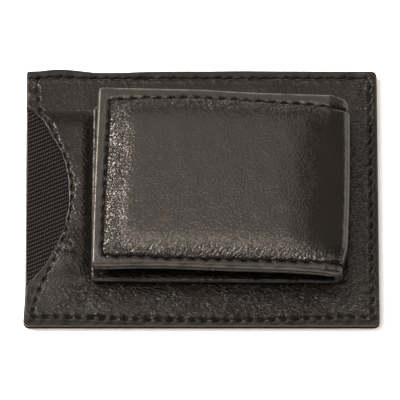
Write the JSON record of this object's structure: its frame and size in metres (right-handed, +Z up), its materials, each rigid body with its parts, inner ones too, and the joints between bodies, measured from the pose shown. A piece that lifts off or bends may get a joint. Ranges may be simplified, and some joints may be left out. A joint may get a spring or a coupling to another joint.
{
  "type": "money clip wallet",
  "caption": "Flat leather front-pocket wallet with a thumb-notched card pocket and a padded magnetic money clip that folds over notes on its rear.",
  "frame": {"origin": "under the middle of the sewn body, on the plane that its front leather lies on", "axes": "+X along the width towards the clip's fold, +Y across the height towards the slots' mouths, +Z up through the thickness, out of the rear that carries the clip"},
  "size_m": [0.1016, 0.0776, 0.0178],
  "materials": {
    "nappa": "smooth dark brown nappa, satin",
    "padded_nappa": "smooth dark brown nappa over foam, satin",
    "lining_leather": "near black, semi-matt",
    "lining_cloth": "thin plain weave, matt",
    "twill": "ribbed dark twill, matt",
    "thread": "black bonded sewing thread",
    "fibre_board": "pressed grey fibre board, matt",
    "foam": "fine closed-cell foam, matt",
    "plated_magnet": "nickel plated disc"
  },
  "bodies": {
    "root": {"rear_panel": "nappa", "rear_panel_lining": "lining_cloth", "card_pocket_wall": "twill", "front_panel": "nappa", "front_slot_upper": "nappa", "front_slot_lower": "nappa", "perimeter_seam": "thread", "notch_seam": "thread", "clip_base_outer": "nappa", "clip_base_board": "fibre_board", "clip_base_magnet_upper": "plated_magnet", "clip_base_magnet_lower": "plated_magnet", "clip_base_lining": "lining_leather", "clip_base_seam": "thread", "clip_fold_outer": "padded_nappa", "clip_fold_inner": "lining_leather"},
    "clip_flap": {"clip_flap_outer": "padded_nappa", "clip_flap_pad": "foam", "clip_flap_board": "fibre_board", "clip_flap_magnet_upper": "plated_magnet", "clip_flap_magnet_lower": "plated_magnet", "clip_flap_lining": "lining_leather", "clip_flap_seam": "thread"}
  },
  "joints": [
    {"name": "clip_hinge", "type": "hinge", "parent": "root", "child": "clip_flap", "pos_m": [0.04164, 0.00031, 0.01], "axis": [0.0183, 0.9998, 0], "range_deg": [-3.4, 160], "deforming": ["clip_fold_outer", "clip_fold_inner"]}
  ]
}
